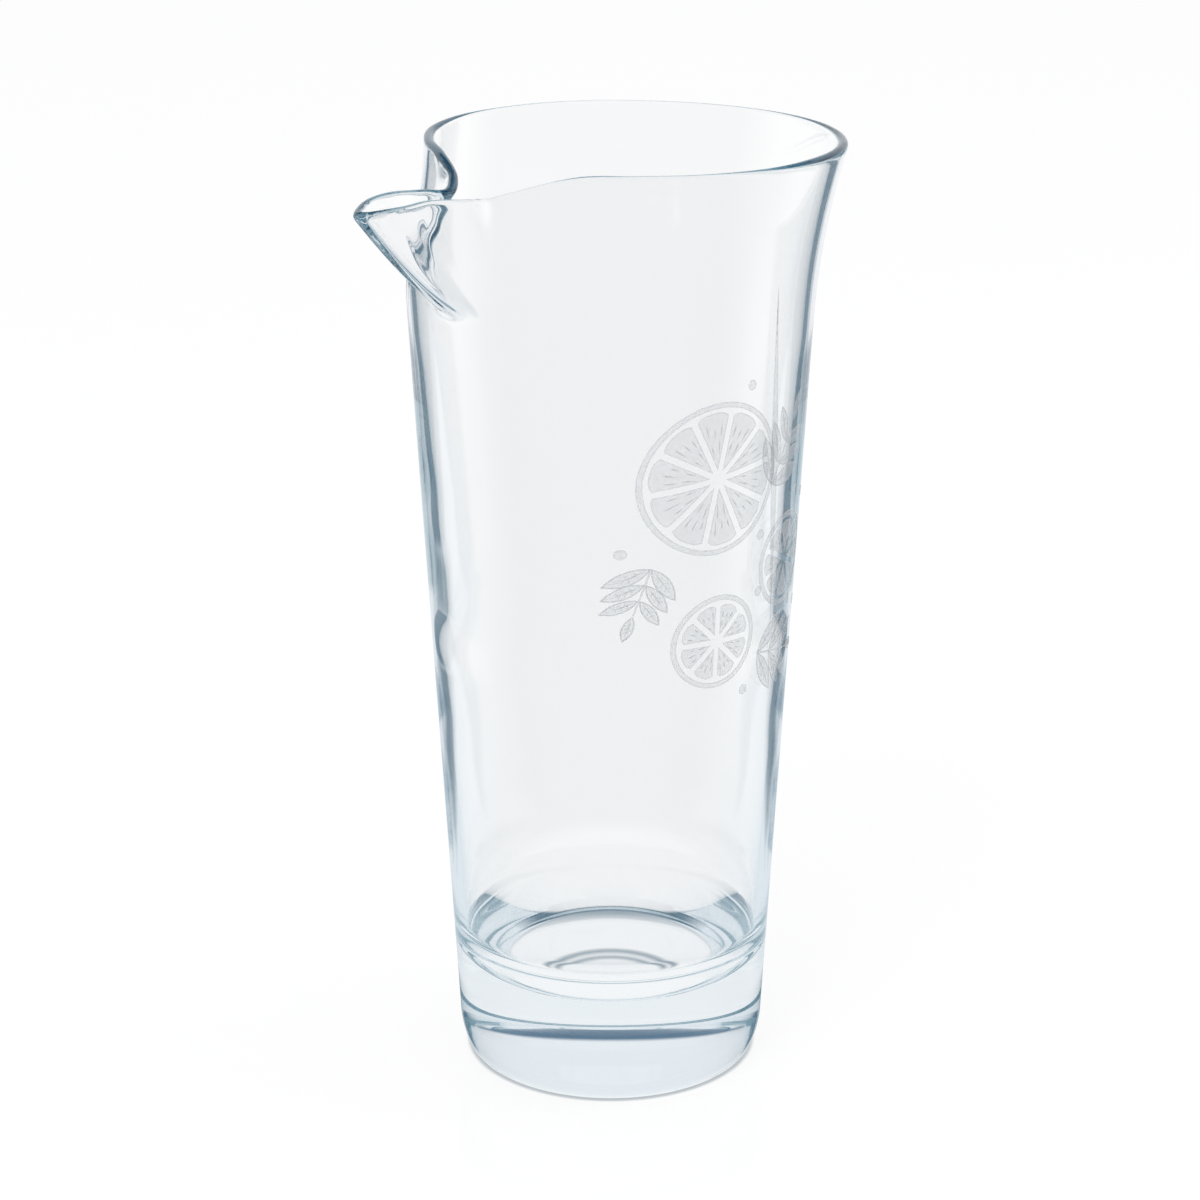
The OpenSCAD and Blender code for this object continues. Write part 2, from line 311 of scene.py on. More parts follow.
def rim_rows(size, spout):
    """The rim's middle line from the tip of the spout to the back: along, across, drop and angle of each place,
    then how the wall climbs to it: the share where it starts, its power and its belly."""
    bead = size.bead_d / 2
    ring = size.rim_d / 2 - bead
    run = spout.reach - bead - spout.throat_reach
    half = spout.channel_w / 2
    lip = [[spout.throat_reach + run * a, half * b, spout.drop * c, angle, *climb]
           for (a, b, c), angle, climb in zip(LIP_SHARES, LIP_ANGLES, LIP_CLIMBS)]
    places = ((spout.throat_reach, spout.throat_w), (spout.pinch_reach, spout.pinch_w),
              (spout.dent_reach, spout.dent_w))
    side = [[along, across / 2, spout.drop * share, angle, *climb]
            for (along, across), share, angle, climb in zip(places, DROP_SHARES, SIDE_ANGLES, SIDE_CLIMBS)]
    turn = math.degrees(spout.turn)
    dent_a = math.degrees(math.atan2(spout.dent_w / 2, spout.dent_reach))
    dent_r = math.hypot(spout.dent_w / 2, spout.dent_reach)
    opening = []
    for a_share, r_share, drop_share in OPEN_SHARES:
        a = dent_a + (turn - dent_a) * a_share
        r = dent_r + (ring - dent_r) * r_share
        climb = [p + (q - p) * r_share for p, q in zip(SIDE_CLIMBS[-1], ROUND_CLIMB)]
        opening.append([r * math.cos(math.radians(a)), r * math.sin(math.radians(a)), spout.drop * drop_share, a,
                        *climb])

    def round_row(a):
        return [ring * math.cos(math.radians(a)), ring * math.sin(math.radians(a)), 0, a, *ROUND_CLIMB]

    rows = [across_of(lip[1])] + lip + side + opening + [round_row(turn), round_row(turn + (180 - turn) / 3)]
    fine = []
    for p, q, r, s in zip(rows, rows[1:], rows[2:], rows[3:]):
        fine += [curve_row(p, q, r, s, i / CURVE_ROWS) for i in range(CURVE_ROWS)]
    return fine + [round_row(turn + (180 - turn) * i / ROUND_ROWS) for i in range(ROUND_ROWS + 1)]


def across_of(row):
    """The same place on the other side of the spout."""
    return [row[0], -row[1], row[2], -row[3], *row[4:]]


def curve_row(p, q, r, s, share):
    """A centripetal Catmull-Rom curve from q to r."""
    def gap(a, b):
        return math.sqrt(math.hypot(b[0] - a[0], b[1] - a[1]) * MM_PER_M)

    def mix(u, v, a, b, t):
        return [x * (b - t) / (b - a) + y * (t - a) / (b - a) for x, y in zip(u, v)]

    k1 = gap(p, q)
    k2 = k1 + gap(q, r)
    k3 = k2 + gap(r, s)
    t = k1 + (k2 - k1) * share
    a, b, c = mix(p, q, 0, k1, t), mix(q, r, k1, k2, t), mix(r, s, k2, k3, t)
    return mix(mix(a, b, 0, k2, t), mix(b, c, k1, k3, t), k1, k2, t)


def even_rows(rows, count):
    """The rows again, spaced evenly along the rim but closer at the spout."""
    way = [0.0]
    for p, q in zip(rows, rows[1:]):
        step = math.hypot(q[0] - p[0], q[1] - p[1])
        way.append(way[-1] + step * (SPOUT_CLOSER if q[0] > SPOUT_ZONE else 1.0))
    half, i = [], 0
    for n in range(count // 2 + 1):
        aim = way[-1] * n / (count // 2)
        while i < len(way) - 2 and way[i + 1] < aim:
            i += 1
        share = (aim - way[i]) / (way[i + 1] - way[i])
        half.append([a + (b - a) * share for a, b in zip(rows[i], rows[i + 1])])
    return half + [across_of(row) for row in half[-2:0:-1]]


class Loft:
    """Places every ring of the flared zone over the rim's rows."""

    def __init__(self, size, rows):
        self.size = size
        self.rows = rows
        self.count = len(rows)
        self.seat = size.height - size.flare_h
        self.slope = (size.neck_d - size.heel_d) / 2 / (self.seat + SEAT_DEPTH - size.heel_h)
        self.frames = {}

    def wall(self, z):
        return self.size.heel_d / 2 + self.slope * (z - self.size.heel_h)

    def middle(self, i, t):
        row = self.rows[i % self.count]
        bead = self.size.bead_d / 2
        z = self.seat + (self.size.height - bead - row[2] - self.seat) * t
        start, power, belly = row[4:]
        share = max(0, (t - start) / (1 - start))
        ease = EASE ** power
        climb = ((share ** 2 + EASE ** 2) ** (power / 2) - ease) / ((1 + EASE ** 2) ** (power / 2) - ease)
        climb += belly * share * share * (1 - share)
        r = self.wall(z) - self.size.wall_top / 2
        a = math.radians(row[3])
        return Vector((-(r * math.cos(a) * (1 - climb) + row[0] * climb),
                       -(r * math.sin(a) * (1 - climb) + row[1] * climb), z))

    def frame(self, i, t):
        if (i, t) not in self.frames:
            up = (self.middle(i, min(1, t + NUDGE)) - self.middle(i, max(0, t - NUDGE))).normalized()
            side = self.middle(i + 1, t) - self.middle(i - 1, t)
            self.frames[i, t] = side.cross(up).normalized(), up
        return self.frames[i, t]

    def half_wall(self, t):
        return (self.size.wall_top + (self.size.bead_d - self.size.wall_top) * t ** 4) / 2

    def skin(self, i, t, way):
        out, _ = self.frame(i, t)
        return self.middle(i, t) + out * way * self.half_wall(t)

    def bead(self, i, a):
        out, up = self.frame(i, 1)
        return self.middle(i, 1) + (out * math.cos(a) + up * math.sin(a)) * self.size.bead_d / 2


def glass_profile(size, loft):
    """Half the section of the pitcher, from the middle of its underside round to the middle of the cavity floor.
    Each place is a radius, a height and, in the flare, how the loft sets it."""
    places = []
    ball = (size.pontil_d ** 2 / 4 + size.pontil_depth ** 2) / 2 / size.pontil_depth
    for i in range(HOLLOW_STEPS + 1):
        r = size.pontil_d / 2 * i / HOLLOW_STEPS
        places.append((r, size.pontil_depth - ball + math.sqrt(ball * ball - r * r), None))
    foot = size.heel_d / 2 - size.heel_in
    for share in SEAT_SHARES:
        places.append((size.pontil_d / 2 + (foot - size.foot_round - size.pontil_d / 2) * share, 0, None))
    heel_r = (size.heel_in ** 2 + size.heel_h ** 2) / 2 / size.heel_in
    for a in FOOT_ANGLES:
        places.append((foot - size.foot_round + size.foot_round * math.sin(math.radians(a)),
                       size.foot_round * (1 - math.cos(math.radians(a))), None))
    for i in range(1, HEEL_STEPS + 1):
        z = size.heel_h * i / HEEL_STEPS
        places.append((size.heel_d / 2 - heel_r + math.sqrt(heel_r ** 2 - (size.heel_h - z) ** 2), z, None))
    for i in range(1, WALL_STEPS):
        z = size.heel_h + (loft.seat - size.heel_h) * i / WALL_STEPS
        places.append((loft.wall(z), z, None))
    levels = [i / FLARE_STEPS for i in range(FLARE_STEPS + 1)]
    for t in levels:
        places.append((loft.wall(loft.seat), loft.seat + FLARE_RISE * t, ("skin", t, 1)))
    for i in range(1, BEAD_STEPS):
        a = math.pi * i / BEAD_STEPS
        places.append((loft.wall(loft.seat) - FLARE_HALF + FLARE_HALF * math.cos(a),
                       loft.seat + FLARE_RISE + FLARE_TOP + FLARE_TOP * math.sin(a), ("bead", a)))
    for t in reversed(levels):
        places.append((loft.wall(loft.seat) - size.wall_top, loft.seat + FLARE_RISE * t, ("skin", t, -1)))
    corner = size.floor + loft.wall(size.floor) - size.wall_low - size.floor_d / 2

    def inner(z):
        share = (z - corner) / (loft.seat - corner)
        swell = smooth((z - size.bulge_low) / size.bulge_rise)
        swell *= max(0, min(1, (size.bulge_high - z) / size.bulge_fade))
        return loft.wall(z) - size.wall_low - (size.wall_top - size.wall_low) * share - size.bulge * swell

    for i in range(INNER_STEPS - 1, 0, -1):
        z = corner + (loft.seat - corner) * i / INNER_STEPS
        places.append((inner(z), z, ("wall",)))
    for i in range(CORNER_STEPS + 1):
        a, share = math.pi / 2 * i / CORNER_STEPS, i / CORNER_STEPS
        out = math.cos(a) * (1 - size.corner_flat) + (1 - share) * size.corner_flat
        down = math.sin(a) * (1 - size.corner_flat) + share * size.corner_flat
        places.append((size.floor_d / 2 + (inner(corner) - size.floor_d / 2) * out,
                       corner - (corner - size.floor) * down, None))
    for i in range(FLOOR_STEPS - 1, -1, -1):
        r = size.floor_d / 2 * i / FLOOR_STEPS
        places.append((r, size.floor + size.floor_crown * (1 - (r / size.floor_d * 2) ** 2), None))
    return places


def smooth(share):
    """A smooth step from 0 to 1."""
    share = max(0, min(1, share))
    return share * share * (3 - 2 * share)


def wall_wave(x, y, z, low, high):
    """Uneven thickness of a wall that was blown and turned, nothing at either end."""
    fade = min(1, (z - low) / WAVE_IN, (high - z) / WAVE_OUT)
    rings = sum(math.sin(z * pace + start) * strength for pace, start, strength in WAVE_RINGS)
    patches = noise.noise(Vector(v * scale for v, scale in zip((x, y, z), WAVE_PATCHES))) * WAVE_PATCH_SHARE
    return (rings + patches) * max(0, fade)


class PITCHER_OT_glass(bpy.types.Operator):
    """Turn, flare and pinch the one piece of clear glass"""
    bl_idname = "pitcher.glass"
    bl_label = "Glass"
    bl_options = {"REGISTER", "UNDO"}

    def execute(self, context):
        size, spout = context.scene.pitcher_sizes, context.scene.pitcher_spout
        loft = Loft(size, even_rows(rim_rows(size, spout), TURNS))
        places = glass_profile(size, loft)
        glass = open_line("clear_glass_body", [(r, z) for r, z, _ in places])
        bpy.ops.object.mode_set(mode="EDIT")
        bpy.ops.mesh.select_all(action="SELECT")
        bpy.ops.mesh.spin(steps=TURNS, angle=math.tau, center=(0, 0, 0), axis=(0, 0, 1), dupli=False)
        bpy.ops.mesh.select_all(action="SELECT")
        bpy.ops.mesh.remove_doubles(threshold=SPIN_MERGE)
        bpy.ops.object.mode_set(mode="OBJECT")
        found = {(round(r, 5), round(z, 5)): i for i, (r, z, _) in enumerate(places)}
        if len(found) != len(places):
            raise RuntimeError("two places of the section are the same")
        low, high = size.floor + WAVE_START, loft.seat
        for vertex in glass.data.vertices:
            x, y, z = vertex.co
            r = math.hypot(x, y)
            key = (round(r, 5), round(z, 5))
            if key not in found:
                key = min(found, key=lambda k: abs(k[0] - r) + abs(k[1] - z))
            r, z, way = places[found[key]]
            i = round(math.atan2(y, x) / math.tau * TURNS) % TURNS
            if way and way[0] == "skin":
                vertex.co = loft.skin(i, way[1], way[2])
            elif way and way[0] == "bead":
                vertex.co = loft.bead(i, way[1])
            else:
                a = math.radians(loft.rows[i][3])
                if way:
                    r += size.wave * wall_wave(-r * math.cos(a), -r * math.sin(a), z, low, high)
                vertex.co = (-r * math.cos(a), -r * math.sin(a), z)
        tidy_mesh(glass)
        bpy.ops.object.shade_smooth_by_angle(angle=SMOOTH_ANGLE)
        glass.data.materials.append(clear_glass(context.scene.pitcher_colours))
        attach(glass, "root")
        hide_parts("glass_body")
        return {"FINISHED"}


def clear_glass(colours):
    material = bpy.data.materials.new("clear_glass")
    tree = nodes_of(material)
    out = node(tree, "ShaderNodeOutputMaterial")
    shader = node(tree, "ShaderNodeBsdfPrincipled")
    shader.inputs["Base Color"].default_value = (1, 1, 1, 1)
    shader.inputs["IOR"].default_value = colours.index
    shader.inputs["Transmission Weight"].default_value = 1.0
    where = node(tree, "ShaderNodeTexCoord")
    split = node(tree, "ShaderNodeSeparateXYZ")
    link(tree, where.outputs["Object"], split.inputs[0])
    foot = calculate(tree, "LESS_THAN", split.outputs["Z"], WORN_BELOW)
    link(tree, calculate(tree, "MULTIPLY", foot, colours.foot_wear), shader.inputs["Roughness"])
    spread = node(tree, "ShaderNodeMapping")
    spread.inputs["Scale"].default_value = RIPPLE_STRETCH
    ripple = node(tree, "ShaderNodeTexNoise")
    ripple.inputs["Scale"].default_value = RIPPLE_SCALE
    ripple.inputs["Detail"].default_value = RIPPLE_DETAIL
    bump = node(tree, "ShaderNodeBump")
    bump.inputs["Strength"].default_value = RIPPLE_STRENGTH
    bump.inputs["Distance"].default_value = RIPPLE_DEPTH
    link(tree, where.outputs["Object"], spread.inputs["Vector"])
    link(tree, spread.outputs["Vector"], ripple.inputs["Vector"])
    link(tree, ripple.outputs["Fac"], bump.inputs["Height"])
    link(tree, bump.outputs["Normal"], shader.inputs["Normal"])
    depth = node(tree, "ShaderNodeVolumeAbsorption")
    depth.inputs["Color"].default_value = (*colours.tint, 1)
    depth.inputs["Density"].default_value = colours.tint_density
    link(tree, shader.outputs["BSDF"], out.inputs["Surface"])
    link(tree, depth.outputs["Volume"], out.inputs["Volume"])
    return material


# The ornament. Places are shares of its half width and half height, turns are in degrees.

LINE, FILL = 0, 1
# Across, up, segments and turn of each slice, the large one first
SLICES = [(-0.3, 0.42, 10, 8), (0.5, -0.2, 8, 20), (-0.24, -0.57, 8, 0)]
# Across, up, turn and size of each sprig
SPRIGS = [(0.24, 0.3, 58, 1), (0.18, -0.72, -12, 1), (-0.74, -0.07, 255, 0.75)]
BUBBLES = [(0.62, 0.2), (0.86, 0.12), (0.14, 0.02), (0.15, -0.33), (-0.92, 0.02), (0.04, -0.92), (0.84, -0.56),
           (-0.04, 0.94)]
RIND_STEPS = 96
BUBBLE_STEPS = 24
SEGMENT_STEPS = 10
# Share of a segment's angle that its rounded outer edge takes, its stretch, and how round its corners and its tip are
SEGMENT_SHARE = 0.9
SEGMENT_WIDER = 1.03
CORNER_SHARE = 0.6
TIP_SHARE = 1.5
# Rows of pulp: where each starts and ends on the segment, and its number of drops
PULP_ROWS = ((0.36, 0.62, 2), (0.62, 0.86, 3))
PULP_SPREAD = 0.72
PULP_PACE = 2.1
PULP_LENGTHS = (0.8, 0.2)
# Where a drop is widest, and its half width in lines
DROP_WIDEST = 0.65
DROP_SHARE = 0.6
SPRIG_PAIRS = 3
PAIR_SHARE = 0.42
STEM_TAPER = 0.6
LEAF_SPREAD = math.radians(48)
# A leaf's length as a share of its place, its outline in lines, and the start, widest place and end of its rib
LEAF_SHARE = 0.94
LEAF_LINE = 0.9
RIB_LINE = 0.5
RIB_PLACES = (0.06, 0.3, 0.86)
# Places of a leaf's veins, and their reach as a share of its width, which is longest at the middle place
VEIN_PLACES = (0.24, 0.4, 0.56)
VEIN_REACH = 0.3
VEIN_LONGEST = 1.25
VEIN_SHRINK = 2
VEIN_RISE = 0.9
VEIN_LINE = 1.6
# How far veins and pulp stand proud, in layers
PROUD = 1.3
# Bisects beyond the ornament's edge, one per millimetre
SPARE_CUTS = 4
FROST_ROUGHNESS = 0.85
GRAIN_SCALE = 900
GRAIN_DETAIL = 3
# Share of the cover that the grain adds, and the share without it
GRAIN_SHARES = (0.5, 0.75)


def patch(points, bands, heart, high=0.0):
    """A flat patch inside points. Its bands, each a width and a slot, follow the rim inwards; the heart inside them
    gets a slot too, or is cut out if that is None."""
    piece = bpy.context.object
    bpy.ops.mesh.select_all(action="DESELECT")
    bpy.ops.mesh.primitive_circle_add(vertices=len(points), radius=START_SIZE, fill_type="NGON")
    mesh = bmesh.from_edit_mesh(piece.data)
    for vertex, (x, y) in zip([v for v in mesh.verts if v.select], points):
        vertex.co = (x, y, high)
    bmesh.update_edit_mesh(piece.data)
    for width, slot in bands:
        piece.active_material_index = slot
        bpy.ops.object.material_slot_assign()
        bpy.ops.mesh.inset(thickness=width)
    if heart is None:
        bpy.ops.mesh.delete(type="FACE")
    else:
        piece.active_material_index = heart
        bpy.ops.object.material_slot_assign()


def turned(points, x, y, a):
    """Points turned by an angle and moved to a place."""
    return [(x + u * math.cos(a) - v * math.sin(a), y + u * math.sin(a) + v * math.cos(a)) for u, v in points]


def arc(r, start, end, steps):
    return [(r * math.cos(start + (end - start) * i / steps), r * math.sin(start + (end - start) * i / steps))
            for i in range(steps + 1)]


def leaf_points(long, wide, steps=12):
    """A pointed leaf along X, between two arcs."""
    r = (long ** 2 + wide ** 2) / 4 / wide
    half = math.asin(long / 2 / r)
    upper = [(long / 2 + r * math.sin(a), r * math.cos(a) - r + wide / 2)
             for a in [half - 2 * half * i / steps for i in range(steps + 1)]]
    return upper[::-1] + [(x, -y) for x, y in upper[1:-1]]


def slice_patches(ornament, x, y, d, segments, turn):
    """A cut citrus fruit: its rind, and segments with drops of pulp in them."""
    line = ornament.line_w
    patch(turned(arc(d / 2, 0, math.tau, RIND_STEPS)[:-1], x, y, 0),
          [(line, LINE), (ornament.rind_w - 2 * line, FILL), (line, LINE)], None)
    out_r = d / 2 - ornament.rind_w - ornament.segment_gap
    half = math.pi / segments
    edge = math.asin(ornament.segment_gap / 2 / out_r)
    tip = ornament.segment_gap / 2 / math.sin(half) * TIP_SHARE
    middle = SEGMENT_STEPS / 2
    corner = ornament.rind_w * CORNER_SHARE
    for i in range(segments):
        a = turn + (2 * i + 1) * half
        curve = []
        wide = (half - edge) * SEGMENT_SHARE
        for j, (_, v) in enumerate(arc(out_r - corner, -wide, wide, SEGMENT_STEPS)):
            v *= SEGMENT_WIDER
            curve.append((math.sqrt(max(0, out_r ** 2 - v * v)) - corner * (abs(j - middle) / middle) ** 4, v))
        patch(turned([(tip, 0)] + curve, x, y, a), [(line, LINE)], FILL)
        for row, (start, end, drops) in enumerate(PULP_ROWS):
            for n in range(drops):
                side = ((n + 0.5) / drops - 0.5) * 2 * half * PULP_SPREAD
                long = out_r * (end - start) * (PULP_LENGTHS[0] + PULP_LENGTHS[1] * math.sin(n * PULP_PACE + i + row))
                thick = line * DROP_SHARE
                drop = [(0, 0), (long * DROP_WIDEST, thick), (long, 0), (long * DROP_WIDEST, -thick)]
                patch(turned(turned(drop, out_r * start, 0, 0), x, y, a + side), [], LINE, ornament.layer * PROUD)


def sprig_patches(ornament, x, y, turn, size):
    """A stem with pairs of veined leaves and one at its end."""
    long = ornament.leaf_l * size * SPRIG_PAIRS * PAIR_SHARE
    thick = ornament.stem_w / 2
    thin = thick * STEM_TAPER
    patch(turned([(0, -thick), (long, -thin), (long, thin), (0, thick)], x, y, turn), [], LINE)
    for i in range(SPRIG_PAIRS + 1):
        leaf_size = size * (1 - i / (SPRIG_PAIRS + 1) / 2)
        leaf_l, leaf_w = ornament.leaf_l * leaf_size, ornament.leaf_w * leaf_size
        for way in (0,) if i == SPRIG_PAIRS else (-1, 1):
            a = way * LEAF_SPREAD

            def place(points):
                moved = turned(points, ornament.line_w * 2, 0, 0)
                return turned(turned(moved, long * i / SPRIG_PAIRS, 0, a), x, y, turn)

            patch(place(leaf_points(leaf_l * LEAF_SHARE, leaf_w)), [(ornament.line_w * LEAF_LINE, LINE)], FILL)
            rib = ornament.line_w * RIB_LINE
            start, widest, end = (leaf_l * share for share in RIB_PLACES)
            patch(place([(start, 0), (widest, rib), (end, 0), (widest, -rib)]), [], LINE, ornament.layer * PROUD)
            for share in VEIN_PLACES:
                for side in (-1, 1):
                    reach = leaf_w * VEIN_REACH * (VEIN_LONGEST - abs(share - VEIN_PLACES[1]) * VEIN_SHRINK)
                    rise = side * reach * VEIN_RISE
                    vein = [(0, 0), (reach, rise), (reach - rib * VEIN_LINE, rise)]
                    patch(place([(leaf_l * share + u, v) for u, v in vein][::side]), [], LINE, ornament.layer * PROUD)


class PITCHER_OT_ornament(bpy.types.Operator):
    """Print the frosted citrus ornament on the wall"""
    bl_idname = "pitcher.ornament"
    bl_label = "Ornament"
    bl_options = {"REGISTER", "UNDO"}

    def execute(self, context):
        size, ornament = context.scene.pitcher_sizes, context.scene.pitcher_ornament
        clear_selection()
        bpy.ops.mesh.primitive_plane_add(size=START_SIZE)
        print_piece = new_piece("frosted_citrus_ornament")
        for material in (frost(context.scene.pitcher_colours, "frosted_lines", "line_cover"),
                         frost(context.scene.pitcher_colours, "frosted_fill", "fill_cover")):
            print_piece.data.materials.append(material)
        bpy.ops.object.mode_set(mode="EDIT")
        bpy.ops.mesh.select_all(action="SELECT")
        bpy.ops.mesh.delete(type="VERT")
        half_w, half_h = ornament.width / 2, ornament.height / 2
        for i, (x, y, segments, turn) in enumerate(SLICES):
            slice_patches(ornament, x * half_w, y * half_h, ornament.small_slice_d if i else ornament.slice_d,
                          segments, math.radians(turn))
        for x, y, turn, share in SPRIGS:
            sprig_patches(ornament, x * half_w, y * half_h, math.radians(turn), share)
        for x, y in BUBBLES:
            patch(turned(arc(ornament.bubble_d / 2, 0, math.tau, BUBBLE_STEPS)[:-1], x * half_w, y * half_h, 0),
                  [(ornament.line_w, LINE)], FILL)
        self.wrap(print_piece, size, ornament)
        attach(print_piece, "root")
        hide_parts("frosted_ornament")
        return {"FINISHED"}

    def wrap(self, piece, size, ornament):
        """Cuts the flat print into strips, lays it on the wall and gives it its thickness."""
        reach = round(ornament.width / 2 * MM_PER_M) + SPARE_CUTS
        for x in range(-reach, reach):
            bpy.ops.mesh.select_all(action="SELECT")
            bpy.ops.mesh.bisect(plane_co=(x / MM_PER_M, 0, 0), plane_no=(1, 0, 0))
        bpy.ops.object.mode_set(mode="OBJECT")
        loft = Loft(size, [])
        for vertex in piece.data.vertices:
            x, y, high = vertex.co
            z = ornament.middle + y
            r = loft.wall(z) + ornament.lift + high
            vertex.co = (x, -math.sqrt(r * r - x * x), z)
        bpy.ops.object.mode_set(mode="EDIT")
        bpy.ops.mesh.select_all(action="SELECT")
        bpy.ops.mesh.quads_convert_to_tris()
        bpy.ops.object.mode_set(mode="OBJECT")
        bpy.ops.object.modifier_add(type="SOLIDIFY")
        layer = piece.modifiers[-1]
        layer.thickness = ornament.layer
        layer.offset = 1
        bpy.ops.object.modifier_apply(modifier=layer.name)


def frost(colours, name, cover_key):
    """Fired frost that lets part of the light through, a little uneven as a printed layer is."""
    material = bpy.data.materials.new(name)
    tree = nodes_of(material)
    out = node(tree, "ShaderNodeOutputMaterial")
    shader = node(tree, "ShaderNodeBsdfPrincipled")
    shader.inputs["Base Color"].default_value = (*colours.frost, 1)
    shader.inputs["Roughness"].default_value = FROST_ROUGHNESS
    shader.inputs["IOR"].default_value = colours.index
    where = node(tree, "ShaderNodeTexCoord")
    grain = node(tree, "ShaderNodeTexNoise")
    grain.inputs["Scale"].default_value = GRAIN_SCALE
    grain.inputs["Detail"].default_value = GRAIN_DETAIL
    link(tree, where.outputs["Object"], grain.inputs["Vector"])
    cover = getattr(colours, cover_key)
    uneven = calculate(tree, "MULTIPLY_ADD", grain.outputs["Fac"], *(cover * share for share in GRAIN_SHARES))
    link(tree, uneven, shader.inputs["Alpha"])
    link(tree, shader.outputs["BSDF"], out.inputs["Surface"])
    return material


# The stage. The glass sees the floor and the sky by these places, and each list of stops gives a place from 0 to 1
# and how strong the thing is there. Distances on the floor are measured from the pitcher's axis.

# Compass direction in which the camera looks past the pitcher
BEYOND = math.radians(46)
# The pitcher's middle radius, by which light leaves it beside the axis
GLASS_R = 0.045
NEAR = 0.1
FLOOR_SIZE = 12
FLOOR_Z = -0.0002
# Near the pitcher, in tenths of a metre: painted shade in dark rings round the hollow, painted shade in a dark
# line where the foot stands, painted shade in the dark zone at the sides, the paper under the foot, the zone where
# the room is mirrored and the painted contact shadow round the seat as the camera sees it
PAINTED_HOLLOW_SHADE = [(0.13, 0.0), (0.148, 0.9), (0.163, 0.15), (0.178, 0.9), (0.198, 0.0)]
PAINTED_FOOT_SHADE = [(0.37, 0.0), (0.395, 0.9), (0.42, 0.9), (0.44, 0.0)]
PAINTED_SIDE_SHADE = [(0.4, 0.0), (0.43, 0.9), (0.56, 0.9), (0.66, 0.0)]
SIDE_TURN = [(0.6, 0.0), (0.8, 1.0)]
UNDER_FOOT = [(0.4, 1.0), (0.44, 0.0)]
CLEAR_OF_FOOT = [(0.85, 0.0), (1.0, 1.0)]
PAINTED_SEAT_SHADOW = [(0.374, 0.55), (0.384, 0.0)]
# Painted reflection of dark cards that stand nowhere on the stage: the near ones and the narrower ones far off, by
# how far a ray is bent aside, and where they change over
NEAR_PAINTED_CARDS = [(0.33, 0.0), (0.43, 1.0), (0.64, 1.0), (0.7, 0.5)]
NEAR_PAINTED_CARDS_AWAY = [(0.3, 1.0), (0.37, 0.2)]
FAR_PAINTED_CARDS = [(0.43, 0.0), (0.465, 1.0)]
FAR_PAINTED_CARDS_AWAY = [(0.3, 0.0), (0.37, 1.0)]
# Where the painted dusky shade near the pitcher gives way to haze, by distance on the floor
HAZE_AWAY = [(0.25, 0.0), (0.9, 1.0)]
# Beyond the pitcher as against the camera's side, and how high the dark part of the sky starts
BEYOND_TURN = [(0.35, 0.0), (0.6, 1.0)]
FRONT_TURN = [(0.35, 1.0), (0.6, 0.0)]
HIGH_UP = [(0.565, 0.0), (0.6, 1.0)]
# Mirrorings, in tens, from which light is haze and from which it is led along the wall
MANY = 10
FEW_TIMES = [(0.1, 0.0), (0.2, 1.0)]
LED_TIMES = [(0.35, 0.0), (0.7, 1.0)]
BOUNCES = 300
# The paper's own light for the camera, its sheen and the colour that takes the shadow
PAPER_GLOW = 0.88
PAPER_SHEEN = 0.05
PAPER_POLISH = 0.03
PAPER_GREY = (0.9, 0.9, 0.9, 1)
# Name, place, power and width of each lamp, and where they point
LAMPS = (("key_lamp", (-0.9, -0.3, 1.3), 9, 0.7), ("fill_lamp", (0.9, -0.7, 1.0), 5, 0.9))
LAMP_AIM = (0, 0, 0.12)
CLIP = (0.01, 40)


